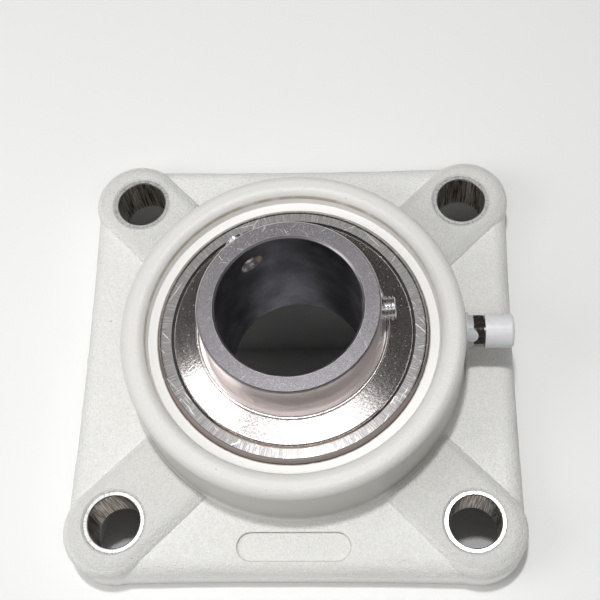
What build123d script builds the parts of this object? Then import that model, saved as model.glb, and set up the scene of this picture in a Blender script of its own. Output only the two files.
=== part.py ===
"""Four-bolt square flange unit: a wide inner ring ball bearing insert in a moulded plastic housing.

The mounting face lies on Z = 0 and the bore axis is +Z, out of the nose. Lengths are in millimetres.
"""
import os
from math import cos, pi, sin, sqrt

from build123d import *

# Flange plate, arms and bolt bushes
bolt_spacing = 92.0
edge_distance = 13.6
pad_overhang = 0.4
waist_depth = 0.5
plate_height = 12.0
plate_edge_round = 4.5
arm_rise = 2.1
arm_half_width = 12.2
arm_edge_round = 4.0
bush_outer_radius = 8.02
bush_wall = 1.32
bush_sink = 0.3
bush_chamfer = 0.25
bush_hole_chamfer = 0.45
bush_fit = 0.02

# Insert bearing, from the shaft outwards: each radius stands on the one before it
shaft_bore_radius = 18.256
collar_wall = 4.694
land_step = 1.05
race_depth = 2.75
shoulder_rise = 3.05
seal_seat_step = 1.8
rim_wall = 4.4
ball_radius = 5.556
ball_count = 9
race_clearance = 0.02
race_conformity = 1.04

# Insert bearing, along the shaft from the ball plane
sphere_height = 21.0
cage_room = 0.244
seal_seat_depth = 2.0
outer_ring_edge_round = 1.35
land_overlap = 1.7
collar_front = 25.4
collar_rear = 17.5
bore_chamfer = 0.6
collar_chamfer = 0.45

# Grease groove and holes of the outer ring
lube_groove_height = 3.0
lube_groove_depth = 0.6
lube_groove_half_width = 0.9
lube_hole_radius = 1.1
lube_hole_angles = (0.0, 120.0)

# Central boss that carries the insert
seat_clearance = 0.05
rear_bore_step = 1.6
step_foot_step = 1.8
step_draft = 0.45
crown_inner_step = 4.7
crown_width = 3.95
crown_drop = 1.55
boss_outer_round = 2.4
boss_draft = 0.3
boss_foot_fillet = 0.7
ledge_drop = 1.2
crown_rise = 4.3
rear_ledge_height = 9.0
loading_slot_clearance = 0.4

# Bare obround label recess on the plate
recess_length = 29.0
recess_width = 7.2
recess_offset = 51.85
recess_depth = 0.7

# Riveted ribbon cage
cage_thickness = 0.6
cage_half_width = 1.95
pocket_clearance = 0.1
rivet_radius = 0.85
rivet_head_radius = 1.5
rivet_head_height = 0.7
rivet_fit = 0.02

# Seals and flingers
seal_thickness = 1.1
seal_lip_gap = 0.03
seal_fit = 0.02
seal_core_thickness = 0.4
seal_core_inner_step = 2.2
seal_core_outer_step = 0.6
flinger_thickness = 0.5
flinger_fit = 0.01
flinger_rim_gap = 0.55
flinger_rim_proud = 0.2
flinger_cone_rise = 2.7
flinger_skirt = 0.8
flinger_hub_depth = 2.2

# Set screws
screw_radius = 3.175
screw_length = 6.35
screw_proud = 3.5
screw_from_face = 8.3
screw_fit = 0.04
screw_angles = (5.0, 125.0)
screw_socket = 3.175
screw_socket_depth = 3.0
screw_cup_radius = 1.6
screw_cup_depth = 0.8
screw_end_chamfer = 0.45

# Grease fitting, its moulded nozzle, threaded insert and dust cap
fitting_offset = 1.5
nozzle_radius = 4.2
nozzle_proud = 1.9
nozzle_base_radius = 5.0
nozzle_base_proud = 0.6
lug_radius = 1.7
lug_height = 1.0
lug_overhang = 1.05
lug_angle = 36.0
lug_clearance = 0.06
thread_insert_wall = 0.47
thread_insert_length = 6.0
shank_radius = 3.0
shank_fit = 0.03
grease_way_radius = 1.2
hex_across_flats = 7.7
hex_length = 2.75
hex_chamfer = 0.3
hex_turn = 13.0
neck_radius = 2.3
neck_length = 2.4
head_radius = 3.2
head_length = 4.2
head_taper = 1.2
check_ball_radius = 1.15
check_mouth_radius = 1.0
check_mouth_length = 0.7
check_chamber_radius = 1.3
check_ball_gap = 0.02
spring_wire_radius = 0.16
spring_radius = 0.95
spring_turns = 4.5
cap_wall = 1.19
cap_length = 7.5
cap_gap = 0.3
cap_fit = 0.06
cap_end_wall = 0.9
cap_end_round = 0.9
cap_nub_radius = 0.55
cap_nub_length = 0.5

# Worked out from the sizes above: the insert
collar_radius = shaft_bore_radius + collar_wall
land_radius = collar_radius + land_step
pitch_radius = land_radius + race_depth
shoulder_radius = pitch_radius + shoulder_rise
seal_seat_radius = shoulder_radius + seal_seat_step
sphere_radius = seal_seat_radius + rim_wall
seat_radius = sphere_radius + seat_clearance
pocket_radius = ball_radius + pocket_clearance
half_ring = pocket_radius + cage_thickness + cage_room + seal_seat_depth
land_half_width = half_ring + land_overlap
front_face = sphere_height + collar_front
groove_radius = ball_radius * race_conformity
inner_groove_centre = pitch_radius - ball_radius - race_clearance + groove_radius
outer_groove_centre = pitch_radius + ball_radius + race_clearance - groove_radius
cage_inner_radius = pitch_radius - cage_half_width
cage_outer_radius = pitch_radius + cage_half_width
seal_core_inner_radius = land_radius + seal_core_inner_step
seal_core_outer_radius = seal_seat_radius - seal_core_outer_step
flinger_rim_radius = seal_seat_radius - flinger_rim_gap
flinger_rim_top = sphere_height + half_ring + flinger_rim_proud
flinger_bead_top = flinger_rim_top + flinger_cone_rise
screw_height = front_face - screw_from_face
screw_tip = collar_radius + screw_proud

# Worked out from the sizes above: the housing
half_spacing = bolt_spacing / 2
pad_reach = half_spacing + edge_distance
half_flange = pad_reach - pad_overhang
through_all = 2 * pad_reach
pad_centre = pad_reach - arm_half_width
arm_height = plate_height + arm_rise
bush_bore_radius = bush_outer_radius - bush_wall
bush_length = arm_height - bush_sink
bolt_places = {
    "front_left": (-half_spacing, -half_spacing),
    "front_right": (half_spacing, -half_spacing),
    "rear_left": (-half_spacing, half_spacing),
    "rear_right": (half_spacing, half_spacing),
}
ledge_height = sphere_height + half_ring - ledge_drop
boss_height = ledge_height + crown_rise
step_foot_radius = sphere_radius + step_foot_step
step_top_radius = step_foot_radius + step_draft
rear_bore_radius = sphere_radius + rear_bore_step
crown_inner_radius = sphere_radius + crown_inner_step
boss_top_radius = crown_inner_radius + crown_width
boss_foot_radius = boss_top_radius + boss_draft

# Worked out from the sizes above: the grease fitting
fitting_height = sphere_height + lube_groove_height
drafted_height = boss_height - boss_outer_round - plate_height
boss_wall_radius = boss_foot_radius - boss_draft * (fitting_height - plate_height) / drafted_height
nozzle_end = boss_wall_radius + nozzle_proud
thread_insert_radius = shank_radius + shank_fit + thread_insert_wall
insert_start = nozzle_end - thread_insert_length
hex_corner_radius = hex_across_flats / sqrt(3)
hex_end = nozzle_end + hex_length
head_start = hex_end + neck_length
head_end = head_start + head_length
mouth_start = head_end - check_mouth_length
check_ball_centre = mouth_start - sqrt(check_ball_radius**2 - check_mouth_radius**2) - check_ball_gap
cap_radius = head_radius + cap_fit + cap_wall
cap_start = hex_end + cap_gap
cap_end = cap_start + cap_length


def turned(outline):
    """Solid turned about the bore axis from a closed outline of (radius, height) edges."""
    return revolve(Plane.XZ * make_face(outline), Axis.Z)


def along_x(start, radius, length):
    """Round bar lying along +X on the grease fitting's axis."""
    bar = Cylinder(radius, length, align=(Align.CENTER, Align.CENTER, Align.MIN))
    return Pos(start, fitting_offset, fitting_height) * Rot(0, 90, 0) * bar


def radial_bar(angle, height, radius, start, length):
    """Round bar that points away from the bore axis at an angle."""
    bar = Cylinder(radius, length, align=(Align.CENTER, Align.CENTER, Align.MIN))
    return Rot(0, 0, angle) * Pos(start, 0, height) * Rot(0, 90, 0) * bar


def to_rear(solid):
    """The same piece on the rear side of the ball plane."""
    return mirror(solid, about=Plane.XY.offset(sphere_height))


def plate_outline():
    """Square with rounded corners and slightly waisted sides, each arc tangent to the next."""
    centre = half_flange - arm_half_width
    waist = half_flange - waist_depth
    bow = (centre**2 + (waist - centre)**2 - arm_half_width**2) / (2 * waist_depth)
    share = arm_half_width / (bow + arm_half_width)
    far = centre + share * (waist + bow - centre)
    near = centre - share * centre
    crest = centre + arm_half_width / sqrt(2)
    corner = ThreePointArc((far, near), (crest, crest), (near, far))
    side = ThreePointArc((near, far), (0, waist), (-near, far))
    return make_face([Rot(0, 0, turn) * arc for turn in (0, 90, 180, 270) for arc in (corner, side)])


def flange_body():
    """Waisted square plate with rounded edges, and two crossed arms that end in the bolt pads."""
    plate = extrude(plate_outline(), plate_height)
    plate = fillet(plate.faces().sort_by(Axis.Z)[-1].edges(), plate_edge_round)
    body = plate
    for angle in (45, 135):
        bar = SlotCenterToCenter(2 * pad_centre * sqrt(2), 2 * arm_half_width, rotation=angle)
        arm = extrude(bar, arm_height)
        body += fillet(arm.faces().sort_by(Axis.Z)[-1].edges(), arm_edge_round)
    return body


def boss_blank():
    """Drafted boss with a rounded crown, a step down to the ledge and a solid core."""
    foot = (boss_foot_radius, plate_height)
    shoulder = (boss_top_radius, boss_height - boss_outer_round)
    crown = (boss_top_radius - boss_outer_round, boss_height)
    lip = (crown_inner_radius, boss_height)
    step = (step_top_radius, boss_height - crown_drop)
    outline = [
        Polyline((0, ledge_height), (0, 0), (boss_foot_radius, 0), foot, shoulder),
        TangentArc(shoulder, crown, tangent=(0, 1)),
        Line(crown, lip),
        TangentArc(lip, step, tangent=(-1, 0)),
        Polyline(step, (step_foot_radius, ledge_height), (0, ledge_height)),
    ]
    return turned(outline)


def flange_with_boss():
    """Flange and boss in one, blended where the boss wall meets the plate and the arms."""
    body = flange_body() + boss_blank()
    wall = body.faces().filter_by(GeomType.CONE).sort_by(SortBy.AREA)[-1]
    curves = [edge for edge in wall.edges() if edge.geom_type != GeomType.LINE]
    foot = [edge for edge in curves if edge.center().Z < arm_height + boss_foot_fillet]
    return fillet(foot, boss_foot_fillet)


def nozzle():
    """Moulded nozzle for the grease fitting, with its base ring and a lug beside the hexagon."""
    body = along_x(crown_inner_radius, nozzle_radius, nozzle_end - crown_inner_radius)
    base_length = boss_wall_radius + nozzle_base_proud - crown_inner_radius
    body += along_x(crown_inner_radius, nozzle_base_radius, base_length)
    lug_length = nozzle_end + lug_overhang - crown_inner_radius
    rim = along_x(crown_inner_radius, nozzle_radius + lug_height, lug_length)
    rim -= along_x(nozzle_end, hex_corner_radius + lug_clearance, hex_length)
    stub = Cylinder(lug_radius, nozzle_radius + lug_height, align=(Align.CENTER, Align.CENTER, Align.MIN))
    place = Pos(nozzle_end + lug_overhang - lug_radius, fitting_offset, fitting_height)
    return body + (rim & (place * Rot(lug_angle, 0, 0) * stub))


def make_housing():
    """Moulded housing with its seat, bush holes, loading slots, recess and nozzle."""
    body = flange_with_boss() + nozzle()
    body -= Pos(0, 0, sphere_height) * Sphere(seat_radius)
    body -= Cylinder(rear_bore_radius, 2 * rear_ledge_height)
    slot_width = 2 * (half_ring + loading_slot_clearance)
    slot = extrude(Rectangle(slot_width, 2 * seat_radius), sphere_height)
    body -= slot & Cylinder(seat_radius, 2 * sphere_height)
    for x, y in bolt_places.values():
        body -= Pos(x, y, 0) * Cylinder(bush_outer_radius + bush_fit, through_all)
        cone = Cone(bush_outer_radius, bush_outer_radius + 2 * bush_hole_chamfer, 2 * bush_hole_chamfer)
        body -= Pos(x, y, arm_height) * cone
    label = Pos(0, -recess_offset) * SlotOverall(recess_length, recess_width)
    body -= Pos(0, 0, plate_height - recess_depth) * extrude(label, arm_height)
    body -= along_x(insert_start, thread_insert_radius, thread_insert_length + hex_length)
    body -= along_x(sphere_radius / 2, grease_way_radius, sphere_radius)
    return body


def make_bolt_bush(x, y):
    """Plain stainless sleeve that takes the bolt load through one corner."""
    tube = extrude(Circle(bush_outer_radius) - Circle(bush_bore_radius), bush_length)
    tube = chamfer(tube.edges().filter_by(GeomType.CIRCLE), bush_chamfer)
    return Pos(x, y, 0) * tube


def make_outer_ring():
    """Ball-turned outer ring with its race, seal seats, grease groove and grease holes."""
    rim = sqrt(sphere_radius**2 - half_ring**2)
    seat_floor = half_ring - seal_seat_depth
    outline = [
        Polyline(
            (rim, -half_ring), (seal_seat_radius, -half_ring), (seal_seat_radius, -seat_floor),
            (shoulder_radius, -seat_floor), (shoulder_radius, seat_floor),
            (seal_seat_radius, seat_floor), (seal_seat_radius, half_ring), (rim, half_ring)),
        ThreePointArc((rim, half_ring), (sphere_radius, 0), (rim, -half_ring)),
    ]
    section = make_face(outline) - Pos(outer_groove_centre, 0) * Circle(groove_radius)
    groove_floor = sqrt(sphere_radius**2 - lube_groove_height**2) - lube_groove_depth
    groove = Pos(groove_floor, lube_groove_height) * Rectangle(
        sphere_radius, 2 * lube_groove_half_width, align=(Align.MIN, Align.CENTER))
    ring = revolve(Plane.XZ * (section - groove), Axis.Z)
    rims = [e for e in ring.edges().filter_by(GeomType.CIRCLE) if abs(e.radius - rim) < seat_clearance]
    ring = fillet(rims, outer_ring_edge_round)
    for angle in lube_hole_angles:
        ring -= radial_bar(angle, lube_groove_height, lube_hole_radius, pitch_radius, sphere_radius)
    return Pos(0, 0, sphere_height) * ring


def make_inner_ring():
    """Wide inner ring: bore, race, two lands and the collar with its set screw holes."""
    bore, collar, land = shaft_bore_radius, collar_radius, land_radius
    outline = Polyline(
        (bore, -collar_rear + bore_chamfer), (bore + bore_chamfer, -collar_rear),
        (collar - collar_chamfer, -collar_rear), (collar, -collar_rear + collar_chamfer),
        (collar, -land_half_width), (land, -land_half_width),
        (land, land_half_width), (collar, land_half_width),
        (collar, collar_front - collar_chamfer), (collar - collar_chamfer, collar_front),
        (bore + bore_chamfer, collar_front), (bore, collar_front - bore_chamfer), close=True)
    section = make_face(outline) - Pos(inner_groove_centre, 0) * Circle(groove_radius)
    ring = revolve(Plane.XZ * section, Axis.Z)
    for angle in screw_angles:
        height = collar_front - screw_from_face
        ring -= radial_bar(angle, height, screw_radius + screw_fit, bore / 2, collar)
    return Pos(0, 0, sphere_height) * ring


def ball_place(index):
    """Centre of one ball on the pitch circle."""
    angle = 2 * pi * index / ball_count
    return Pos(pitch_radius * cos(angle), pitch_radius * sin(angle), sphere_height)


def make_ball(index):
    """One steel ball."""
    return ball_place(index) * Sphere(ball_radius)


def cage_half():
    """Front half of the ribbon cage: flats between the balls and domed pockets over them."""
    flat = extrude(Circle(cage_outer_radius) - Circle(cage_inner_radius), cage_thickness)
    band = extrude(Circle(cage_outer_radius) - Circle(cage_inner_radius), 2 * pocket_radius)
    domes = [Pos(0, 0, -sphere_height) * ball_place(i) * Sphere(pocket_radius + cage_thickness)
             for i in range(ball_count)]
    half = flat + [band & dome for dome in domes]
    for i in range(ball_count):
        half -= Pos(0, 0, -sphere_height) * ball_place(i) * Sphere(pocket_radius)
    for i in range(ball_count):
        turn = Rot(0, 0, 360 * (i + 0.5) / ball_count)
        half -= turn * Pos(pitch_radius, 0, 0) * Cylinder(rivet_radius + rivet_fit, 4 * cage_thickness)
    return Pos(0, 0, sphere_height) * half


def make_cage_rivets():
    """Rivets that hold the two cage halves together, one between each two balls."""
    shank = Cylinder(rivet_radius, 2 * cage_thickness)
    head = Cone(rivet_head_radius, rivet_radius, rivet_head_height,
                align=(Align.CENTER, Align.CENTER, Align.MIN))
    front = Pos(0, 0, cage_thickness) * head
    rivet = shank + front + mirror(front, about=Plane.XY)
    return [Rot(0, 0, 360 * (i + 0.5) / ball_count) * Pos(pitch_radius, 0, sphere_height) * rivet
            for i in range(ball_count)]


def seal_core_height():
    """Underside of the steel washer inside the front seal."""
    floor = sphere_height + half_ring - seal_seat_depth
    return floor + (seal_thickness - seal_core_thickness) / 2


def make_seal_core():
    """Steel washer moulded into the rubber seal."""
    washer = extrude(Circle(seal_core_outer_radius) - Circle(seal_core_inner_radius), seal_core_thickness)
    return Pos(0, 0, seal_core_height()) * washer


def make_seal_lip():
    """Rubber seal: a ring pressed into the outer ring, with a thin lip on the land."""
    floor = sphere_height + half_ring - seal_seat_depth + seal_fit
    top = floor + seal_thickness
    edge = seal_seat_radius - seal_fit
    tip = land_radius + seal_lip_gap
    root = seal_core_inner_radius - seal_core_thickness
    outline = Polyline(
        (edge, floor), (edge, top), (root, top), (tip, top + seal_core_thickness),
        (tip, top), (root, floor), close=True)
    return turned(outline) - make_seal_core()


def make_flinger():
    """Pressed sheet slinger on the land: hub, rolled bead, dished face and turned-down rim."""
    hub = land_radius + flinger_fit
    rim = flinger_rim_radius
    sheet = flinger_thickness
    rim_top = flinger_rim_top
    bead_top = flinger_bead_top
    hub_foot = bead_top - flinger_hub_depth
    bead_start = (hub, bead_top - sheet)
    bead_end = (hub + 2 * sheet, bead_top - sheet)
    rim_bend = (rim - sheet, rim_top)
    rim_edge = (rim, rim_top - sheet)
    outline = [
        Polyline((hub + sheet, hub_foot), (hub, hub_foot), bead_start),
        ThreePointArc(bead_start, (hub + sheet, bead_top), bead_end),
        Line(bead_end, rim_bend),
        TangentArc(rim_bend, rim_edge, tangent=Vector(*rim_bend) - Vector(*bead_end)),
        Polyline(
            rim_edge, (rim, rim_top - flinger_skirt), (rim - sheet, rim_top - flinger_skirt),
            (rim - sheet, rim_top - sheet), (hub + sheet, bead_top - 2 * sheet), (hub + sheet, hub_foot)),
    ]
    return turned(outline)


def make_set_screw(angle):
    """Cup point socket set screw, shown backed out as it is delivered."""
    body = Cylinder(screw_radius, screw_length, align=(Align.CENTER, Align.CENTER, Align.MAX))
    body = chamfer(body.edges().filter_by(GeomType.CIRCLE), screw_end_chamfer)
    socket = RegularPolygon(screw_socket / 2, 6, major_radius=False)
    body -= Pos(0, 0, -screw_socket_depth) * extrude(socket, screw_length)
    cup = Cone(screw_cup_radius, 0, screw_cup_depth, align=(Align.CENTER, Align.CENTER, Align.MIN))
    body -= Pos(0, 0, -screw_length) * cup
    return Rot(0, 0, angle) * Pos(screw_tip, 0, screw_height) * Rot(0, 90, 0) * body


def make_thread_insert():
    """Brass bush moulded into the nozzle for the grease fitting's thread."""
    blank = along_x(insert_start, thread_insert_radius - bush_fit, thread_insert_length)
    return blank - along_x(0, shank_radius + shank_fit, half_flange)


def make_grease_fitting():
    """Stainless grease fitting: threaded shank, hexagon, neck and coupling head."""
    body = along_x(insert_start, shank_radius, thread_insert_length)
    hexagon = RegularPolygon(hex_across_flats / 2, 6, major_radius=False, rotation=hex_turn)
    block = extrude(hexagon, hex_length)
    trim = Cylinder(hex_corner_radius, hex_length, align=(Align.CENTER, Align.CENTER, Align.MIN))
    block &= chamfer(trim.edges().group_by(Axis.Z)[-1], hex_chamfer)
    body += Pos(nozzle_end, fitting_offset, fitting_height) * Rot(0, 90, 0) * block
    body += along_x(hex_end, neck_radius, neck_length)
    head = along_x(head_start, head_radius, head_length)
    body += chamfer(head.edges().filter_by(GeomType.CIRCLE).sort_by(Axis.X)[-1], head_taper)
    body -= along_x(insert_start, check_mouth_radius, half_flange)
    body -= along_x(hex_end, check_chamber_radius, mouth_start - hex_end)
    return body


def make_check_ball():
    """Small ball that closes the grease fitting's mouth from inside."""
    return Pos(check_ball_centre, fitting_offset, fitting_height) * Sphere(check_ball_radius)


def make_check_spring():
    """Coil spring behind the check ball, from the chamber floor to the ball."""
    start = hex_end + spring_wire_radius
    back = check_ball_centre - sqrt(check_ball_radius**2 - spring_radius**2)
    reach = back - 2 * spring_wire_radius - start
    path = Helix(reach / spring_turns, reach, spring_radius)
    wire = Plane(origin=path @ 0, z_dir=path % 0) * Circle(spring_wire_radius)
    coil = sweep(wire, path=path)
    return Pos(start, fitting_offset, fitting_height) * Rot(0, 90, 0) * coil


def make_grease_cap():
    """Soft plastic dust cap pushed over the fitting's head."""
    body = along_x(cap_start, cap_radius, cap_length)
    body = fillet(body.edges().filter_by(GeomType.CIRCLE).sort_by(Axis.X)[-1], cap_end_round)
    body += along_x(cap_end - cap_end_wall, cap_nub_radius, cap_end_wall + cap_nub_length)
    return body - along_x(0, head_radius + cap_fit, cap_end - cap_end_wall)


def all_nodes():
    """Every sub-part by its node name."""
    nodes = {"housing": make_housing()}
    for corner, (x, y) in bolt_places.items():
        nodes[f"bolt_bush_{corner}"] = make_bolt_bush(x, y)
    nodes["outer_ring"] = make_outer_ring()
    nodes["inner_ring"] = make_inner_ring()
    for i in range(ball_count):
        nodes[f"ball_{i + 1}"] = make_ball(i)
    nodes["cage_front"] = cage_half()
    nodes["cage_rear"] = to_rear(nodes["cage_front"])
    nodes["cage_rivets"] = Compound(children=make_cage_rivets())
    nodes["front_seal_core"] = make_seal_core()
    nodes["front_seal_lip"] = make_seal_lip()
    nodes["rear_seal_core"] = to_rear(nodes["front_seal_core"])
    nodes["rear_seal_lip"] = to_rear(nodes["front_seal_lip"])
    nodes["front_flinger"] = make_flinger()
    nodes["rear_flinger"] = to_rear(nodes["front_flinger"])
    for number, angle in enumerate(screw_angles, start=1):
        nodes[f"set_screw_{number}"] = make_set_screw(angle)
    nodes["thread_insert"] = make_thread_insert()
    nodes["grease_fitting"] = make_grease_fitting()
    nodes["check_ball"] = make_check_ball()
    nodes["check_spring"] = make_check_spring()
    nodes["grease_cap"] = make_grease_cap()
    return nodes


os.makedirs("parts", exist_ok=True)
for name, solid in all_nodes().items():
    export_step(solid, f"parts/{name}.step")
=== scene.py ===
import math

import bpy
from mathutils import Matrix, Vector


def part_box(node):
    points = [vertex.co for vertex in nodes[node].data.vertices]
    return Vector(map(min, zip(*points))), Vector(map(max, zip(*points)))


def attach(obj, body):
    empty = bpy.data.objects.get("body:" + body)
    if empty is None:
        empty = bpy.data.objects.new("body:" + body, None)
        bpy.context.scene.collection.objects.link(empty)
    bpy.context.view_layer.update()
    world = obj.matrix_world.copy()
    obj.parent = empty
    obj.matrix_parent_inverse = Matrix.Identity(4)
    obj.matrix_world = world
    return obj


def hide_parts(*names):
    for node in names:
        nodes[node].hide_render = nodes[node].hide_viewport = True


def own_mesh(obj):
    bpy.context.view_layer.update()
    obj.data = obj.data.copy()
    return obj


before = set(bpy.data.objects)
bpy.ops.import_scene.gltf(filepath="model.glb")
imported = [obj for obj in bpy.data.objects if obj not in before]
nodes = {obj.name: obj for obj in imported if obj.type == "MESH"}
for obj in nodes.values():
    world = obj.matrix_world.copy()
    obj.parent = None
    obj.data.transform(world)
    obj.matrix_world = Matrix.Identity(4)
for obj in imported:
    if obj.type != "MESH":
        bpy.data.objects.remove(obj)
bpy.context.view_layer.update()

# Studio
# A pale table under five soft lamps: a small key nearly overhead, a low card at the left, a wide card
# above, a strip above the front and a low narrow lamp for the flange's front wall. The camera looks
# down from in front of the unit.
eye = Vector((0.0217, -0.110575, 0.302305))
forward = Vector((-0.03687, 0.42833, -0.90287)).normalized()
right = forward.cross(Vector((0.01035, 0.9036, 0.42826))).normalized()
upward = right.cross(forward)

lens = bpy.data.cameras.new("camera")
lens.sensor_width = 36.0
lens.lens = 68.39
lens.shift_x = -0.0575
lens.shift_y = -0.0606
lens.clip_start = 0.01
camera = bpy.data.objects.new("camera", lens)
camera.matrix_world = Matrix.Translation(eye) @ Matrix((right, upward, -forward)).transposed().to_4x4()
bpy.context.scene.collection.objects.link(camera)
bpy.context.scene.camera = camera
bpy.context.scene.view_settings.view_transform = "Standard"

world = bpy.data.worlds.new("studio")
world.use_nodes = True
world.node_tree.nodes["Background"].inputs["Color"].default_value = (1.0, 0.97, 0.93, 1)
world.node_tree.nodes["Background"].inputs["Strength"].default_value = 0.04
bpy.context.scene.world = world


def area_lamp(name, place, width, depth, watts, aim=(0.0, 0.0, 0.02), spread=180):
    """A rectangular lamp pointed at the unit, with a beam as wide as the spread in degrees."""
    light = bpy.data.lights.new(name, "AREA")
    light.shape = "RECTANGLE"
    light.size = width
    light.size_y = depth
    light.energy = watts
    light.spread = math.radians(spread)
    lamp = bpy.data.objects.new(name, light)
    lamp.location = place
    lamp.rotation_euler = (Vector(aim) - Vector(place)).to_track_quat("-Z", "Y").to_euler()
    bpy.context.scene.collection.objects.link(lamp)


area_lamp("key", (-0.03, 0.085, 0.95), 0.06, 0.06, 4.2)
area_lamp("left_card", (-0.40, -0.14, 0.38), 0.30, 0.30, 0.85)
area_lamp("overhead_card", (-0.15, 0.18, 0.90), 1.30, 0.94, 1.85, aim=(-0.15, 0.18, 0.0))
area_lamp("front_strip", (0.09, -0.47, 0.90), 1.22, 0.24, 2.0)
area_lamp("front_kicker", (0.0, -0.22, 0.005), 0.15, 0.005, 0.0006, aim=(0.0, 0.0, 0.006), spread=4)


def node(tree, kind, *places, **inputs):
    """A node with its inputs set by position or by name, from values or from other outputs.

    Names in lower case set the node's own properties.
    """
    made = tree.nodes.new(kind)
    sockets = list(enumerate(places))
    for name, value in inputs.items():
        if name[0].islower():
            setattr(made, name, value)
        else:
            sockets.append((name.replace("_", " "), value))
    for key, value in sockets:
        if isinstance(value, bpy.types.NodeSocket):
            tree.links.new(value, made.inputs[key])
        else:
            made.inputs[key].default_value = value
    return made


def mixed(tree, share, first, second):
    """One colour over another by a mask."""
    mix = node(tree, "ShaderNodeMix", data_type="RGBA")
    for index, value in ((0, share), (6, first), (7, second)):
        if isinstance(value, bpy.types.NodeSocket):
            tree.links.new(value, mix.inputs[index])
        else:
            mix.inputs[index].default_value = value
    return mix.outputs[2]


def noise(tree, place, scale, detail):
    """Soft noise from 0 to 1, with its scale in blobs per metre."""
    return node(tree, "ShaderNodeTexNoise", Vector=place, Scale=scale, Detail=detail).outputs["Fac"]


def finish(name, **inputs):
    """A new material with one Principled shader: the material, its tree, the shader and the place."""
    material = bpy.data.materials.new(name)
    material.use_nodes = True
    tree = material.node_tree
    shader = tree.nodes["Principled BSDF"]
    for key, value in inputs.items():
        shader.inputs[key.replace("_", " ")].default_value = value
    place = node(tree, "ShaderNodeTexCoord").outputs["Object"]
    return material, tree, shader, place


table, tree, shader, place = finish("table_top", Roughness=0.6)
patches = mixed(tree, noise(tree, place, 6.0, 3.0), (0.87, 0.87, 0.865, 1), (0.91, 0.91, 0.905, 1))
tree.links.new(patches, shader.inputs["Base Color"])
# Under the flange the table has a well whose floor falls away to the rear, so that the bolt holes and
# the bore look down into shade. The flange covers it.
table_half, well_half, front_depth, rear_depth = 3.0, 0.056, 0.004, 0.13
corners = ((-1, -1), (1, -1), (1, 1), (-1, 1))
points = [(x * half, y * half, 0.0) for half in (table_half, well_half) for x, y in corners]
points += [(x * well_half, y * well_half, -front_depth if y < 0 else -rear_depth) for x, y in corners]
faces = [(start + turn, start + (turn + 1) % 4, start + 4 + (turn + 1) % 4, start + 4 + turn)
         for start in (0, 4) for turn in range(4)]
mesh = bpy.data.meshes.new("table")
mesh.from_pydata(points, [], faces + [(8, 9, 10, 11)])
mesh.materials.append(table)
floor = bpy.data.objects.new("table", mesh)
bpy.context.scene.collection.objects.link(floor)

# Housing
# One injection moulding in off-white engineering plastic. The flange and arms have a spark-eroded
# texture from the mould, the boss and the nozzle a smooth satin one, and grease has stained the ledge
# at the ring. Painted shade makes everything above the plate greyer than the plate and darkens the
# boss's outer wall, the nozzle, a patchy tan line on the crown's inner rounding, strongest at the rear
# left, and a line along the label recess's edge.


def calc(tree, operation, *values):
    """The result of a Math node."""
    return node(tree, "ShaderNodeMath", *values, operation=operation).outputs[0]


def ramp(tree, value, start, end, low=0.0, high=1.0):
    """A value eased from low at start to high at end."""
    eased = node(tree, "ShaderNodeMapRange", Value=value, From_Min=start, From_Max=end, To_Min=low,
                 To_Max=high, interpolation_type="SMOOTHSTEP")
    return eased.outputs["Result"]


def shader_group(name, inputs, outputs):
    """A new shader node group: the tree, its input node and its output node."""
    tree = bpy.data.node_groups.new(name, "ShaderNodeTree")
    for label, kind in inputs.items():
        tree.interface.new_socket(label, in_out="INPUT", socket_type=f"NodeSocket{kind}")
    for label, kind in outputs.items():
        tree.interface.new_socket(label, in_out="OUTPUT", socket_type=f"NodeSocket{kind}")
    return tree, tree.nodes.new("NodeGroupInput").outputs, tree.nodes.new("NodeGroupOutput").inputs


def around_bore_group():
    """How far a point is from the Z axis, its height and its direction from the axis."""
    tree, source, result = shader_group(
        "around_bore", {"Point": "Vector"},
        {"Radius": "Float", "Height": "Float", "Direction": "Vector"})
    point = source["Point"]
    flat = node(tree, "ShaderNodeVectorMath", point, (1.0, 1.0, 0.0), operation="MULTIPLY").outputs[0]
    radius = node(tree, "ShaderNodeVectorMath", flat, operation="LENGTH").outputs["Value"]
    away = node(tree, "ShaderNodeVectorMath", flat, operation="NORMALIZE").outputs[0]
    tree.links.new(radius, result["Radius"])
    tree.links.new(node(tree, "ShaderNodeSeparateXYZ", point).outputs["Z"], result["Height"])
    tree.links.new(away, result["Direction"])
    return tree


def moulded_grain_group():
    """Fine sand texture: a brightness near 1 and a relief, for a grain size in metres."""
    drift_size, drift_share = 0.22, 0.05
    tree, source, result = shader_group(
        "moulded_grain", {"Point": "Vector", "Size": "Float", "Contrast": "Float"},
        {"Tone": "Float", "Relief": "Float"})
    density = calc(tree, "DIVIDE", 1.0, source["Size"])
    sand = noise(tree, source["Point"], density, 2.0)
    drift = noise(tree, source["Point"], calc(tree, "MULTIPLY", density, drift_size), 2.0)
    slow = calc(tree, "MULTIPLY", calc(tree, "SUBTRACT", drift, 0.5), drift_share)
    swing = calc(tree, "ADD", calc(tree, "SUBTRACT", sand, 0.5), slow)
    tree.links.new(calc(tree, "MULTIPLY_ADD", swing, source["Contrast"], 1.0), result["Tone"])
    tree.links.new(sand, result["Relief"])
    return tree


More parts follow.
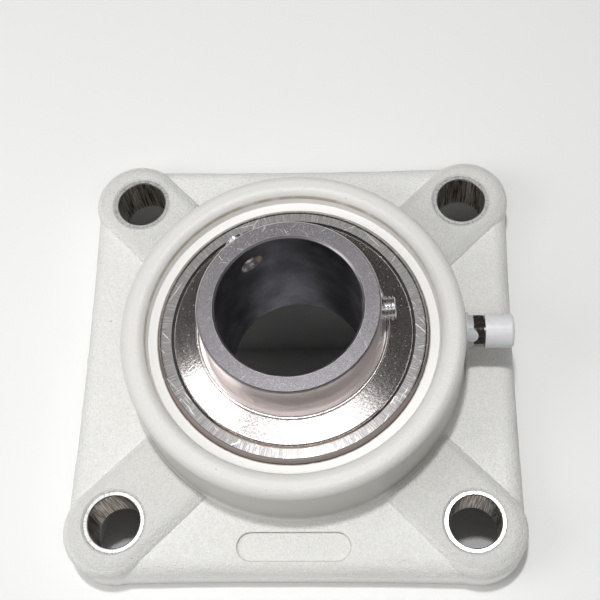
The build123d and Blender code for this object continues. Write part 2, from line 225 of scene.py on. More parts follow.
def specks_group():
    """Sparse small specks, as a mask: one in a share of the cells of the given spacing."""
    tree, source, result = shader_group(
        "specks", {"Point": "Vector", "Spacing": "Float", "Share": "Float", "Size": "Float"},
        {"Mask": "Float"})
    density = calc(tree, "DIVIDE", 1.0, source["Spacing"])
    cells = node(tree, "ShaderNodeTexVoronoi", Vector=source["Point"], Scale=density, Randomness=1.0)
    lot = node(tree, "ShaderNodeSeparateColor", cells.outputs["Color"]).outputs[0]
    chosen = calc(tree, "LESS_THAN", lot, source["Share"])
    size = calc(tree, "MULTIPLY", source["Size"], density)
    near = ramp(tree, cells.outputs["Distance"], size, calc(tree, "MULTIPLY", size, 0.5))
    tree.links.new(calc(tree, "MULTIPLY", chosen, near), result["Mask"])
    return tree


around_bore = around_bore_group()
moulded_grain = moulded_grain_group()
specks = specks_group()


def bore_place(tree, point):
    """Radius, height and direction of a point about the Z axis, in a material."""
    return node(tree, "ShaderNodeGroup", point, node_tree=around_bore).outputs


def facing(tree, direction, side):
    """How far a direction points to a side, from 1 towards it to -1 away from it."""
    return node(tree, "ShaderNodeVectorMath", direction, side, operation="DOT_PRODUCT").outputs["Value"]


def product(tree, *values):
    """Values multiplied together."""
    whole = values[0]
    for value in values[1:]:
        whole = calc(tree, "MULTIPLY", whole, value)
    return whole


def between(tree, share, first, second):
    """A value that goes from the first to the second by a mask."""
    return ramp(tree, share, 0.0, 1.0, first, second)


def tinted(tree, colour, tone):
    """A colour made lighter or darker by a tone near 1."""
    return node(tree, "ShaderNodeVectorMath", colour, tone, operation="MULTIPLY").outputs[0]


def bump(tree, shader, height, strength, depth):
    """Relief on a shader: strength from 0 to 1, depth in metres."""
    relief = node(tree, "ShaderNodeBump", Height=height, Strength=strength, Distance=depth)
    tree.links.new(relief.outputs["Normal"], shader.inputs["Normal"])


def dress(material, *names):
    """Gives CAD nodes their finish."""
    for name in names:
        for slot in nodes[name].material_slots:
            slot.material = material


def housing_plastic():
    """Off-white moulded plastic: sandy flange, satin boss, a grease stain inside the crown, painted shade."""
    # Heights, radii about the bore and distances from its axis at which the finish changes, in metres.
    arm_height, sand_end, sand_side = (0.0128, 0.0138), (0.0147, 0.0152), (0.0458, 0.0454)
    wall_foot, wall_top, wall_side = (0.0128, 0.0150), (0.0312, 0.0295), (0.0435, 0.0443)
    pocket_side, pocket_floor = (0.0384, 0.0381), (0.0275, 0.0280)
    step_side, step_height, ring_edge = (0.0386, 0.0383), (0.0302, 0.0305), (0.03560, 0.03545)
    flange_side, nozzle_side = (0.0583, 0.0590), (0.0448, 0.0451)
    recess_half, recess_radius, recess_centre = 0.0109, 0.0036, -0.05185
    recess_line = (0.00022, 0.00008)
    plate_white, above_plate_shade_white = (0.87, 0.865, 0.84, 1), (0.74, 0.735, 0.71, 1)
    clean_white, wall_shade_grey = (0.87, 0.86, 0.84, 1), (0.62, 0.61, 0.575, 1)
    nozzle_shade_grey, recess_shade_grey = (0.52, 0.53, 0.54, 1), (0.40, 0.37, 0.31, 1)
    rounding_shade_tan, grease_brown, speck_brown = (0.34, 0.27, 0.16, 1), (0.24, 0.17, 0.11, 1), (0.16, 0.13, 0.10, 1)
    grain_size, grain_depth, sand_contrast, satin_contrast = 0.00045, 0.00045, 0.38, 0.06
    rear_left = (-0.45, 0.89, 0.0)

    material, tree, shader, place = finish("housing_plastic")
    about = bore_place(tree, place)
    radius, height = about["Radius"], about["Height"]
    parts = node(tree, "ShaderNodeSeparateXYZ", place).outputs
    across, along = calc(tree, "ABSOLUTE", parts["X"]), calc(tree, "ABSOLUTE", parts["Y"])
    patchy = noise(tree, place, 260.0, 3.0)

    satin = calc(tree, "MAXIMUM", ramp(tree, height, *sand_end), ramp(tree, radius, *sand_side))
    # Painted shade darkens the boss's outer wall and the nozzle.
    wall_shade = product(tree, ramp(tree, height, *wall_foot), ramp(tree, height, *wall_top),
                   ramp(tree, radius, *wall_side), satin)
    nozzle_shade = product(tree, ramp(tree, parts["X"], *nozzle_side), satin)
    pocket = product(tree, ramp(tree, radius, *pocket_side), ramp(tree, height, *pocket_floor))
    edge_wall = ramp(tree, calc(tree, "MAXIMUM", across, along), *flange_side)
    # Everything above the plate, the arms and the boss alike, takes a greyer white: painted shade.
    base = mixed(tree, ramp(tree, height, *arm_height), plate_white, above_plate_shade_white)
    base = mixed(tree, wall_shade, base, wall_shade_grey)
    base = mixed(tree, nozzle_shade, base, nozzle_shade_grey)
    # The pocket inside the crown and the flange's side walls keep the plate's white, without the painted
    # shade.
    base = mixed(tree, calc(tree, "MAXIMUM", pocket, edge_wall), base, clean_white)
    grain = node(tree, "ShaderNodeGroup", place, grain_size, between(
        tree, satin, sand_contrast, satin_contrast), node_tree=moulded_grain).outputs
    colour = tinted(tree, base, grain["Tone"])

    # A patchy tan line of painted shade on the crown's inner rounding, strongest at the rear left, which
    # faces away from the lamps.
    rounding_shade = product(tree, ramp(tree, radius, *step_side), ramp(tree, height, *step_height),
                    ramp(tree, patchy, 0.30, 0.55, 0.45, 1.0),
                    ramp(tree, facing(tree, about["Direction"], rear_left), -0.4, 0.6, 0.05, 0.7))
    # Grease stains the ledge where it meets the ring.
    grease_and_highlight = product(tree, ramp(tree, radius, *ring_edge), ramp(tree, patchy, 0.25, 0.5, 0.35, 0.8))
    colour = mixed(tree, rounding_shade, colour, rounding_shade_tan)
    colour = mixed(tree, grease_and_highlight, colour, grease_brown)

    # The label recess is a long round-ended pocket, and a line of painted shade follows its edge.
    beyond_half = calc(tree, "MAXIMUM", calc(tree, "SUBTRACT", across, recess_half), 0.0)
    off_centre = calc(tree, "SUBTRACT", parts["Y"], recess_centre)
    reach = node(tree, "ShaderNodeCombineXYZ", beyond_half, off_centre, 0.0).outputs[0]
    reach = node(tree, "ShaderNodeVectorMath", reach, operation="LENGTH").outputs["Value"]
    from_edge = calc(tree, "ABSOLUTE", calc(tree, "SUBTRACT", reach, recess_radius))
    dust_and_shade = product(tree, ramp(tree, from_edge, *recess_line), calc(tree, "SUBTRACT", 1.0, satin), 0.5)
    colour = mixed(tree, dust_and_shade, colour, recess_shade_grey)
    marks = node(tree, "ShaderNodeGroup", place, 0.006, 0.35, 0.00022, node_tree=specks).outputs["Mask"]
    colour = mixed(tree, product(tree, marks, 0.75), colour, speck_brown)

    tree.links.new(colour, shader.inputs["Base Color"])
    tree.links.new(between(tree, satin, 0.5, 0.38), shader.inputs["Roughness"])
    relief = product(tree, grain["Relief"], between(tree, satin, 1.0, 0.25))
    bump(tree, shader, relief, 1.0, grain_depth)
    return material


dress(housing_plastic(), "housing")

# Bolt bushes
# Four bright stainless tubes pressed into the corners, so that the bolts don't crush the plastic.
# Their bores keep the drawn tube's lengthwise marks and a brown film.


def tool_marks_group():
    """Long fine marks round an axis: marks per radian, per metre outwards and per metre upwards."""
    tree, source, result = shader_group(
        "tool_marks", {"Point": "Vector", "Around": "Float", "Outward": "Float", "Upward": "Float"},
        {"Mark": "Float"})
    about = bore_place(tree, source["Point"])
    turn = node(tree, "ShaderNodeVectorMath", about["Direction"], operation="SCALE")
    tree.links.new(source["Around"], turn.inputs["Scale"])
    along = calc(tree, "ADD", calc(tree, "MULTIPLY", about["Radius"], source["Outward"]),
                 calc(tree, "MULTIPLY", about["Height"], source["Upward"]))
    lifted = node(tree, "ShaderNodeCombineXYZ", 0.0, 0.0, along).outputs[0]
    spot = node(tree, "ShaderNodeVectorMath", turn.outputs[0], lifted, operation="ADD").outputs[0]
    marks = node(tree, "ShaderNodeTexNoise", Vector=spot, Scale=1.0, Detail=3.0, Roughness=0.65)
    tree.links.new(marks.outputs["Fac"], result["Mark"])
    return tree


tool_marks = tool_marks_group()


def marked(tree, place, around, outward, upward):
    """Tool marks in a material."""
    return node(tree, "ShaderNodeGroup", place, around, outward, upward, node_tree=tool_marks).outputs["Mark"]


def bush_steel():
    """Bright drawn stainless with a brown film in the bore."""
    bush_centre, bore_edge = (0.046, 0.046, 0.0), (0.00685, 0.00672)
    film_dark, film_light = (0.26, 0.21, 0.17, 1), (1.0, 0.93, 0.84, 1)
    steel_light, steel_dark = (0.86, 0.86, 0.86, 1), (0.45, 0.45, 0.46, 1)
    material, tree, shader, place = finish("bush_steel", Metallic=1.0)
    folded = node(tree, "ShaderNodeVectorMath", place, operation="ABSOLUTE").outputs[0]
    corner = node(tree, "ShaderNodeVectorMath", folded, bush_centre, operation="SUBTRACT").outputs[0]
    inside = ramp(tree, bore_place(tree, corner)["Radius"], *bore_edge)
    draw = marked(tree, corner, 22.0, 300.0, 90.0)
    film = mixed(tree, ramp(tree, draw, 0.42, 0.58), film_dark, film_light)
    bright = mixed(tree, ramp(tree, draw, 0.45, 0.75), steel_light, steel_dark)
    tree.links.new(mixed(tree, inside, bright, film), shader.inputs["Base Color"])
    tree.links.new(between(tree, inside, 0.22, 0.30), shader.inputs["Roughness"])
    bump(tree, shader, draw, 0.3, 0.00001)
    return material


dress(bush_steel(), *(name for name in nodes if name.startswith("bolt_bush")))

# Outer ring
# Hardened bearing steel, ball-turned outside to tilt in the housing. Its face is ground, with fine
# marks that run outwards, and the rounded side carries a thin brown film of old grease.


def scratches_group():
    """Fine straight scratches along one direction, as a mask, with their spacing in metres."""
    stretch, rarest, share_gain, edge = (1.0, 0.06, 0.3), 0.78, 0.3, 0.06
    tree, source, result = shader_group(
        "scratches", {"Point": "Vector", "Direction": "Float", "Spacing": "Float", "Share": "Float"},
        {"Mask": "Float"})
    turned = node(tree, "ShaderNodeVectorRotate", Vector=source["Point"], rotation_type="Z_AXIS")
    tree.links.new(source["Direction"], turned.inputs["Angle"])
    across = node(tree, "ShaderNodeVectorMath", turned.outputs[0], stretch, operation="MULTIPLY").outputs[0]
    lines = noise(tree, across, calc(tree, "DIVIDE", 1.0, source["Spacing"]), 1.0)
    start = calc(tree, "SUBTRACT", rarest, calc(tree, "MULTIPLY", source["Share"], share_gain))
    tree.links.new(ramp(tree, lines, start, calc(tree, "ADD", start, edge)), result["Mask"])
    return tree


scratches = scratches_group()


def scratched(tree, marks, place, spacing, runs):
    """Marks with scratches added, each run with its direction in radians and its share."""
    for direction, share in runs:
        lines = node(tree, "ShaderNodeGroup", place, direction, spacing, share, node_tree=scratches)
        marks = calc(tree, "MAXIMUM", marks, lines.outputs["Mask"])
    return marks


def ring_steel():
    """Ground bearing steel with radial marks on the face and a film on the rounded side."""
    rear_film_radius, front_film_radius, ledge_radius = 0.03490, 0.03395, (0.0350, 0.0352)
    steel_dark, steel_light = (0.45, 0.435, 0.43, 1), (0.86, 0.84, 0.83, 1)
    film_dark, film_light, film_line = (0.20, 0.165, 0.15, 1), (0.27, 0.23, 0.21, 1), (0.07, 0.055, 0.045, 1)
    scratch_runs, scratch_spacing = ((0.5, 0.32), (1.3, 0.28), (2.4, 0.36)), 0.0005
    material, tree, shader, place = finish("ring_steel")
    about = bore_place(tree, place)
    ground = marked(tree, place, 150.0, 250.0, 0.0)
    cross = marked(tree, place, 60.0, 1400.0, 0.0)
    marks = calc(tree, "MAXIMUM", ramp(tree, ground, 0.4, 0.8, 0.0, 0.7),
                 ramp(tree, cross, 0.62, 0.75, 0.0, 0.7))
    marks = scratched(tree, marks, place, scratch_spacing, scratch_runs)
    # The film of grease comes further in over the edge at the front than at the rear.
    film_radius = ramp(tree, facing(tree, about["Direction"], (0.0, -1.0, 0.0)), 0.05, 0.75,
                       rear_film_radius, front_film_radius)
    beyond = calc(tree, "SUBTRACT", about["Radius"], film_radius)
    side = ramp(tree, beyond, 0.0, 0.00012)
    film_edges = calc(tree, "MAXIMUM", ramp(tree, beyond, 0.00030, 0.00015),
                      ramp(tree, about["Radius"], *ledge_radius))
    face = mixed(tree, marks, steel_dark, steel_light)
    film = mixed(tree, film_edges, mixed(tree, ground, film_dark, film_light), film_line)
    tree.links.new(mixed(tree, side, face, film), shader.inputs["Base Color"])
    tree.links.new(between(tree, side, 1.0, 0.1), shader.inputs["Metallic"])
    polish = calc(tree, "MAXIMUM", between(tree, marks, 0.14, 0.22), product(tree, side, 0.5))
    tree.links.new(polish, shader.inputs["Roughness"])
    bump(tree, shader, marks, 0.25, 0.00001)
    return material


dress(ring_steel(), "outer_ring")

# Balls
# Nine hardened and lapped chrome steel balls, kept apart by the cage's pockets as they roll in the
# grooves of the two rings.


def ball_steel():
    """Lapped chrome steel, a little uneven in polish."""
    material, tree, shader, place = finish("ball_steel", Metallic=1.0, Base_Color=(0.78, 0.78, 0.79, 1))
    haze = noise(tree, place, 900.0, 2.0)
    tree.links.new(ramp(tree, haze, 0.3, 0.7, 0.05, 0.12), shader.inputs["Roughness"])
    return material


dress(ball_steel(), *(name for name in nodes if name.startswith("ball_")))

# Cage
# Two ribbons pressed from mild steel sheet, held together between the balls by nine small rivets
# with domed heads.


def cage_steel():
    """Dull pressed sheet with a slight drawn grain."""
    material, tree, shader, place = finish("cage_steel", Metallic=1.0)
    grain = node(tree, "ShaderNodeGroup", place, 0.0008, 0.3, node_tree=moulded_grain).outputs
    tree.links.new(tinted(tree, (0.52, 0.51, 0.49), grain["Tone"]), shader.inputs["Base Color"])
    tree.links.new(ramp(tree, grain["Relief"], 0.3, 0.7, 0.34, 0.46), shader.inputs["Roughness"])
    return material


sheet_steel = cage_steel()
dress(sheet_steel, "cage_front", "cage_rear")


def geometry_tree(name, sizes):
    """A geometry node tree with named inputs for its sizes: the tree, its inputs and its output."""
    tree = bpy.data.node_groups.new(name, "GeometryNodeTree")
    for label, kind in sizes.items():
        tree.interface.new_socket(label, in_out="INPUT", socket_type=f"NodeSocket{kind}")
    tree.interface.new_socket("Geometry", in_out="OUTPUT", socket_type="NodeSocketGeometry")
    return tree, tree.nodes.new("NodeGroupInput").outputs, tree.nodes.new("NodeGroupOutput").inputs


def grown(name, tree, values):
    """The mesh piece that a geometry node tree makes with these input values."""
    holder = bpy.data.objects.new(name + "_source", bpy.data.meshes.new(name + "_source"))
    bpy.context.scene.collection.objects.link(holder)
    modifier = holder.modifiers.new("grow", "NODES")
    modifier.node_group = tree
    for item in tree.interface.items_tree:
        if item.in_out == "INPUT":
            modifier[item.identifier] = values[item.name]
    ready = holder.evaluated_get(bpy.context.evaluated_depsgraph_get())
    mesh = bpy.data.meshes.new_from_object(ready)
    holder.modifiers.remove(modifier)
    bpy.data.objects.remove(holder)
    mesh.name = name
    piece = bpy.data.objects.new(name, mesh)
    bpy.context.scene.collection.objects.link(piece)
    return piece


def finished(tree, geometry, material, result):
    """Ends a geometry tree: one real mesh, smooth, in one material."""
    whole = node(tree, "GeometryNodeRealizeInstances", Geometry=geometry).outputs[0]
    smooth = node(tree, "GeometryNodeSetShadeSmooth", Geometry=whole).outputs[0]
    covered = node(tree, "GeometryNodeSetMaterial", Geometry=smooth, Material=material).outputs[0]
    tree.links.new(covered, result["Geometry"])


def rivet_tree(material):
    """Rivets set round a circle: each is turned from a radius that follows its length."""
    rows, sides, smallest = 61, 20, 0.002
    tree, size, result = geometry_tree("cage_rivet_ring", {
        "Count": "Int", "Pitch Radius": "Float", "Height": "Float", "First Angle": "Float",
        "Shank Radius": "Float", "Grip": "Float", "Head Radius": "Float", "Head Height": "Float"})
    end = calc(tree, "ADD", size["Grip"], size["Head Height"])
    start = node(tree, "ShaderNodeCombineXYZ", 0.0, 0.0, calc(tree, "MULTIPLY", end, -1.0)).outputs[0]
    stop = node(tree, "ShaderNodeCombineXYZ", 0.0, 0.0, end).outputs[0]
    axis = node(tree, "GeometryNodeCurvePrimitiveLine", Start=start, End=stop).outputs[0]
    axis = node(tree, "GeometryNodeResampleCurve", Curve=axis, Count=rows).outputs[0]
    spot = node(tree, "GeometryNodeInputPosition").outputs[0]
    level = calc(tree, "ABSOLUTE", node(tree, "ShaderNodeSeparateXYZ", spot).outputs["Z"])
    rise = calc(tree, "DIVIDE", calc(tree, "SUBTRACT", level, size["Grip"]), size["Head Height"])
    fall = calc(tree, "SUBTRACT", 1.0, calc(tree, "MULTIPLY", rise, rise))
    dome = calc(tree, "SQRT", calc(tree, "MAXIMUM", fall, smallest))
    in_head = calc(tree, "GREATER_THAN", rise, -0.001)
    head = calc(tree, "MULTIPLY", dome, size["Head Radius"])
    radius = node(tree, "GeometryNodeSwitch", in_head, size["Shank Radius"], head,
                  input_type="FLOAT").outputs[0]
    section = node(tree, "GeometryNodeCurvePrimitiveCircle", Resolution=sides, Radius=1.0).outputs["Curve"]
    rivet = node(tree, "GeometryNodeCurveToMesh", Curve=axis, Profile_Curve=section, Scale=radius,
                 Fill_Caps=True).outputs[0]
    ring = node(tree, "GeometryNodeMeshCircle", Vertices=size["Count"],
                Radius=size["Pitch Radius"]).outputs[0]
    lift = node(tree, "ShaderNodeCombineXYZ", 0.0, 0.0, size["Height"]).outputs[0]
    turn = node(tree, "ShaderNodeCombineXYZ", 0.0, 0.0, size["First Angle"]).outputs[0]
    ring = node(tree, "GeometryNodeTransform", Geometry=ring, Translation=lift, Rotation=turn).outputs[0]
    rivets = node(tree, "GeometryNodeInstanceOnPoints", Points=ring, Instance=rivet).outputs[0]
    finished(tree, rivets, material, result)
    return tree


ball_count, pitch_radius, ball_plane = 9, 0.02675, 0.021
shank_radius, half_grip, head_radius, head_height = 0.00085, 0.0006, 0.0015, 0.0007
rivets = grown("cage_rivet_ring", rivet_tree(sheet_steel), {
    "Count": ball_count, "Pitch Radius": pitch_radius, "Height": ball_plane,
    "First Angle": math.pi / ball_count, "Shank Radius": shank_radius, "Grip": half_grip,
    "Head Radius": head_radius, "Head Height": head_height})
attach(rivets, "cage")
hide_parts("cage_rivets")

# Inner ring
# Hardened bearing steel with a long collar for the set screws. The collar is turned and ground and
# its face has a fine grain. Painted highlights lie on the face's edges, on its scratches and specks
# towards the rear left and on the bore's rear rim, and painted shade darkens the bore, which a film of
# oil makes patchy.

rear_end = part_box("inner_ring")[0][2]


def inner_ring_steel():
    """Ground steel: grainy face, satin collar wall, bore in painted shade with oil, painted highlights."""
    # Heights and radii at which the finish changes, in metres.
    face_height, bore_side = (0.04615, 0.0463), (0.0184, 0.0183)
    outer_edge, inner_edge = (0.02262, 0.02278), (0.01895, 0.01880)
    rear_edge = (rear_end + 0.0007, rear_end + 0.0004)
    face_steel, glint_white, edge_highlight_white = (0.155, 0.147, 0.157), (0.70, 0.68, 0.70, 1), (0.75, 0.74, 0.75, 1)
    wall_dark, wall_light = (0.84, 0.77, 0.76, 1), (0.95, 0.90, 0.88, 1)
    oil_and_shade_dark, oil_and_shade_light, rear_highlight_white = (0.19, 0.185, 0.22, 1), (0.40, 0.39, 0.45, 1), (0.80, 0.80, 0.82, 1)
    scratch_runs, scratch_spacing = ((0.2, 0.12), (0.9, 0.16), (1.7, 0.1), (2.6, 0.15)), 0.00035
    rear_left = (-0.5, 0.87, 0.0)

    material, tree, shader, place = finish("inner_ring_steel")
    about = bore_place(tree, place)
    radius, height = about["Radius"], about["Height"]
    face = ramp(tree, height, *face_height)
    bore = ramp(tree, radius, *bore_side)
    grain = node(tree, "ShaderNodeGroup", place, 0.00025, 1.6, node_tree=moulded_grain).outputs
    lathe = marked(tree, place, 3.0, 9000.0, 9000.0)

    # The specks and scratches are real marks; their white, strongest towards the rear left, is a painted
    # highlight.
    glints = node(tree, "ShaderNodeGroup", place, 0.0004, 0.3, 0.00012, node_tree=specks).outputs["Mask"]
    glints = scratched(tree, glints, place, scratch_spacing, scratch_runs)
    shine = ramp(tree, facing(tree, about["Direction"], rear_left), 0.6, 0.95, 0.3, 0.95)
    # A painted highlight along the face's outer and inner edges.
    edge_highlight = calc(tree, "MAXIMUM", ramp(tree, radius, *outer_edge), ramp(tree, radius, *inner_edge))
    face_tone = tinted(tree, face_steel, grain["Tone"])
    face_tone = mixed(tree, product(tree, glints, shine), face_tone, glint_white)
    face_tone = mixed(tree, product(tree, edge_highlight, 0.6), face_tone, edge_highlight_white)

    # A painted highlight on the bore's rear rim, in white and less metallic.
    rear_rim_highlight = product(tree, bore, ramp(tree, height, *rear_edge))
    # The bore's dark tone is painted shade; the patches in it stand for a film of oil.
    bore_tone = mixed(tree, ramp(tree, noise(tree, place, 120.0, 3.0), 0.3, 0.7), oil_and_shade_dark, oil_and_shade_light)
    bore_tone = mixed(tree, rear_rim_highlight, bore_tone, rear_highlight_white)
    colour = mixed(tree, face, mixed(tree, lathe, wall_dark, wall_light), face_tone)
    tree.links.new(mixed(tree, bore, colour, bore_tone), shader.inputs["Base Color"])
    tree.links.new(between(tree, rear_rim_highlight, 1.0, 0.2), shader.inputs["Metallic"])
    tree.links.new(between(tree, face, 0.36, 0.42), shader.inputs["Roughness"])
    bump(tree, shader, calc(tree, "ADD", grain["Relief"], lathe), 0.4, 0.00003)
    return material


dress(inner_ring_steel(), "inner_ring")

# Seals
# Black nitrile rubber moulded over a steel washer, one at each end of the ball space, pressed into
# the outer ring. Only the gap round the front flinger shows it.


def seal_rubber():
    """Black rubber, nearly matt, with a painted highlight in tan at the front."""
    front_highlight_tan = (0.62, 0.47, 0.36, 1)
    material, tree, shader, place = finish("seal_rubber")
    grain = node(tree, "ShaderNodeGroup", place, 0.0005, 0.5, node_tree=moulded_grain).outputs
    black = tinted(tree, (0.012, 0.011, 0.011), grain["Tone"])
    # A painted highlight in tan on the lip where it faces the front.
    front = facing(tree, bore_place(tree, place)["Direction"], (0.0, -1.0, 0.0))
    grease_and_highlight = product(tree, ramp(tree, front, 0.75, 0.95), 0.9)
    tree.links.new(mixed(tree, grease_and_highlight, black, front_highlight_tan), shader.inputs["Base Color"])
    tree.links.new(ramp(tree, grain["Relief"], 0.3, 0.7, 0.5, 0.65), shader.inputs["Roughness"])
    return material


dress(seal_rubber(), "front_seal_lip", "rear_seal_lip")
dress(sheet_steel, "front_seal_core", "rear_seal_core")

# Flingers
# Pressed from thin bright sheet, fixed on the inner ring in front of the seals, so that they throw
# dirt off as they turn. The rolled edge at the ring catches the light.


def flinger_steel():
    """Polished sheet with a fine speckle and faint spinning marks."""
    material, tree, shader, place = finish("flinger_steel", Metallic=1.0)
    spin = marked(tree, place, 2.0, 6000.0, 0.0)
    grain = node(tree, "ShaderNodeGroup", place, 0.0006, 1.3, node_tree=moulded_grain).outputs
    glints = node(tree, "ShaderNodeGroup", place, 0.0009, 0.4, 0.0002, node_tree=specks).outputs["Mask"]
    colour = tinted(tree, (0.88, 0.82, 0.81), grain["Tone"])
    colour = mixed(tree, product(tree, glints, 0.5), colour, (1.0, 1.0, 1.0, 1))
    satin = calc(tree, "ADD", ramp(tree, spin, 0.3, 0.7, 0.20, 0.26), product(tree, glints, 0.25))
    tree.links.new(colour, shader.inputs["Base Color"])
    tree.links.new(satin, shader.inputs["Roughness"])
    bump(tree, shader, grain["Relief"], 0.6, 0.00006)
    return material


dress(flinger_steel(), "front_flinger", "rear_flinger")

# Set screws
# Two hardened cup point socket screws, backed out as they are when the unit is delivered. Each is a
# closed lofted body: rolled thread, hexagon socket in the outer end and a cup in the inner one.


def screw_steel():
    """Bright plated steel."""
    material, tree, shader, place = finish("screw_steel", Metallic=1.0, Base_Color=(0.74, 0.74, 0.74, 1))
    haze = noise(tree, place, 1800.0, 3.0)
    tree.links.new(ramp(tree, haze, 0.3, 0.7, 0.2, 0.34), shader.inputs["Roughness"])
    return material


def threaded_screw(name, angle, reach, height, material):
    """A set screw whose loops of points run from the cup, along the thread, to the socket's floor."""
    radius, length, pitch, depth = 0.003175, 0.00635, 0.000907, 0.00046
    end_chamfer, cup_radius, cup_depth = 0.00045, 0.0016, 0.0008
    socket_mouth, socket_flat, socket_lip, socket_depth = 0.0021, 0.0015875, 0.0002, 0.003
    flank_slope, crest_flat = 1.25, 0.12
    around, per_turn = 48, 12

    def thread(turn, along):
        crest = abs(2 * ((along / pitch - turn / math.tau) % 1.0) - 1)
        profile = radius - depth * min(1.0, max(0.0, flank_slope * crest - crest_flat))
        shoulder = radius - end_chamfer + min(along, length - along)
        return min(profile, max(shoulder, radius - depth))

    def hexagon(turn, along):
        return socket_flat / math.cos((turn + math.pi / 6) % (math.pi / 3) - math.pi / 6)

    def circle(size):
        return lambda turn, along: size

    rows = round(length / pitch * per_turn)
    loops = [(0.0, circle(cup_radius))]
    loops += [(length * row / rows, thread) for row in range(rows + 1)]
    loops += [(length, circle(socket_mouth)), (length, hexagon), (length - socket_lip, hexagon)]
    loops += [(length - socket_depth, hexagon)]
    points = [(cup_depth, 0.0, 0.0)]
    for along, section in loops:
        for step in range(around):
            turn = math.tau * step / around
            size = section(turn, along)
            points.append((along, size * math.cos(turn), size * math.sin(turn)))
    points.append((length - socket_depth - cup_depth, 0.0, 0.0))
    faces = []
    for step in range(around):
        following = (step + 1) % around
        faces.append((0, 1 + following, 1 + step))
        for loop in range(len(loops) - 1):
            low, high = 1 + loop * around, 1 + (loop + 1) * around
            faces.append((low + step, low + following, high + following, high + step))
        last = 1 + (len(loops) - 1) * around
        faces.append((last + step, last + following, len(points) - 1))
    mesh = bpy.data.meshes.new(name)
    mesh.from_pydata(points, [], faces)
    mesh.materials.append(material)
    mesh.transform(Matrix.Rotation(angle, 4, "Z") @ Matrix.Translation((reach - length, 0.0, height)))
    mesh.shade_smooth()
    piece = bpy.data.objects.new(name, mesh)
    bpy.context.scene.collection.objects.link(piece)
    return piece


bright_steel = screw_steel()
screw_reach = 0.02645
for number, degrees in ((1, 5), (2, 125)):
    low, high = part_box(f"set_screw_{number}")
    screw = threaded_screw(f"threaded_screw_{number}", math.radians(degrees), screw_reach,
                           (low[2] + high[2]) / 2, bright_steel)
    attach(screw, f"set_screw_{number}")
    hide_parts(f"set_screw_{number}")

# Threaded insert
# A turned brass bush moulded into the nozzle, which takes the grease fitting's thread and isn't
# seen from outside.


def insert_brass():
    """Turned brass."""
    brass_dark, brass_light = (0.62, 0.44, 0.18, 1), (0.76, 0.56, 0.26, 1)
    material, tree, shader, place = finish("insert_brass", Metallic=1.0)
    haze = noise(tree, place, 700.0, 3.0)
    tree.links.new(mixed(tree, haze, brass_dark, brass_light), shader.inputs["Base Color"])
    tree.links.new(ramp(tree, haze, 0.3, 0.7, 0.25, 0.4), shader.inputs["Roughness"])
    return material


dress(insert_brass(), "thread_insert")

# Grease fitting
# Turned from stainless hexagon bar, with a check ball on a coil spring in its head. Only the
# hexagon shows between the nozzle and the cap, dark and polished, with painted highlights on its corners.

fitting_low, fitting_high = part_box("grease_fitting")
fitting_axis = ((fitting_low[1] + fitting_high[1]) / 2, (fitting_low[2] + fitting_high[2]) / 2)


def fitting_steel():
    """Polished steel, nearly black in the flats, with painted highlights on the corners."""
    flat_dark, flat_light, corner_highlight_white = (0.34, 0.28, 0.28, 1), (0.52, 0.44, 0.44, 1), (0.85, 0.85, 0.84, 1)
    corner_radius = (0.00425, 0.00436)
    material, tree, shader, place = finish("fitting_steel", Metallic=1.0)
    axis = (0.0, *fitting_axis)
    centred = node(tree, "ShaderNodeVectorMath", place, axis, operation="SUBTRACT").outputs[0]
    across = node(tree, "ShaderNodeVectorMath", centred, (0.0, 1.0, 1.0), operation="MULTIPLY").outputs[0]
    radius = node(tree, "ShaderNodeVectorMath", across, operation="LENGTH").outputs["Value"]
    # Painted highlight along the hexagon's corners.
    corner = ramp(tree, radius, *corner_radius)
    haze = noise(tree, place, 1500.0, 3.0)
    flat = mixed(tree, haze, flat_dark, flat_light)
    tree.links.new(mixed(tree, corner, flat, corner_highlight_white), shader.inputs["Base Color"])
    tree.links.new(ramp(tree, haze, 0.3, 0.7, 0.18, 0.28), shader.inputs["Roughness"])
    return material


dark_steel = fitting_steel()
dress(dark_steel, "grease_fitting")
dress(bright_steel, "check_ball")


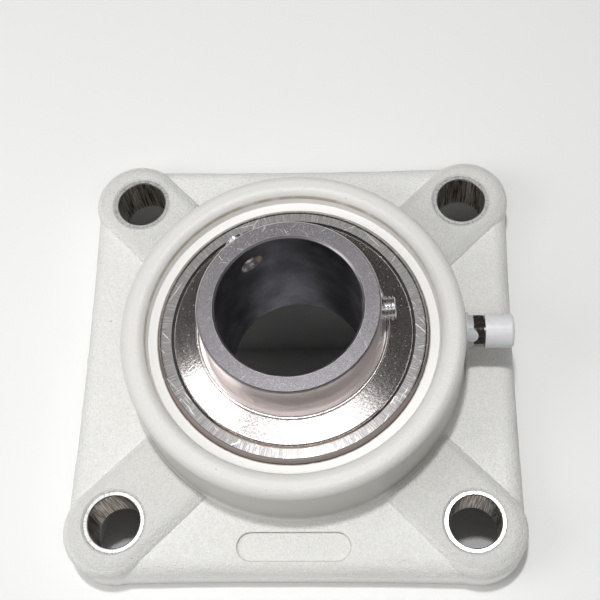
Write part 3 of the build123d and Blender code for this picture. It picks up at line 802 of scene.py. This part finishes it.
def coil_tree(material):
    """A coil spring along +X: round wire swept along a helix."""
    tree, size, result = geometry_tree("coil_spring", {
        "Turns": "Float", "Coil Radius": "Float", "Wire Radius": "Float", "Length": "Float",
        "Place": "Vector"})
    helix = node(tree, "GeometryNodeCurveSpiral", Resolution=32, Rotations=size["Turns"],
                 Start_Radius=size["Coil Radius"], End_Radius=size["Coil Radius"],
                 Height=size["Length"]).outputs[0]
    wire = node(tree, "GeometryNodeCurvePrimitiveCircle", Resolution=10,
                Radius=size["Wire Radius"]).outputs["Curve"]
    coil = node(tree, "GeometryNodeCurveToMesh", Curve=helix, Profile_Curve=wire, Fill_Caps=True).outputs[0]
    coil = node(tree, "GeometryNodeTransform", Geometry=coil, Translation=size["Place"],
                Rotation=(0.0, math.pi / 2, 0.0)).outputs[0]
    finished(tree, coil, material, result)
    return tree


spring_low, spring_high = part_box("check_spring")
spring_length = spring_high[0] - spring_low[0]
spring_axis = [(low + high) / 2 for low, high in zip(spring_low[1:], spring_high[1:])]
turns, coil_radius, wire_radius, press = 4.5, 0.00095, 0.00016, 0.001
spring = grown("check_coil_spring", coil_tree(bright_steel), {
    "Turns": turns, "Coil Radius": coil_radius, "Wire Radius": wire_radius,
    "Length": spring_length - 2 * wire_radius, "Place": (spring_low[0] + wire_radius, *spring_axis)})
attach(spring, "housing")
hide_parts("check_spring")
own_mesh(spring)

# Grease cap
# A soft milky plastic cap pushed over the fitting's head, with a small nub at its closed end where
# it came off the mould.


def cap_plastic():
    """Milky white plastic with a soft sheen and a dusty mouth."""
    dusty_white, clean_white = (0.72, 0.725, 0.74, 1), (0.78, 0.785, 0.80, 1)
    material, tree, shader, place = finish("cap_plastic", Subsurface_Weight=0.15, Subsurface_Scale=0.001)
    dust_and_shade = noise(tree, place, 500.0, 3.0)
    tree.links.new(mixed(tree, dust_and_shade, dusty_white, clean_white), shader.inputs["Base Color"])
    tree.links.new(ramp(tree, dust_and_shade, 0.3, 0.7, 0.26, 0.36), shader.inputs["Roughness"])
    return material


dress(cap_plastic(), "grease_cap")
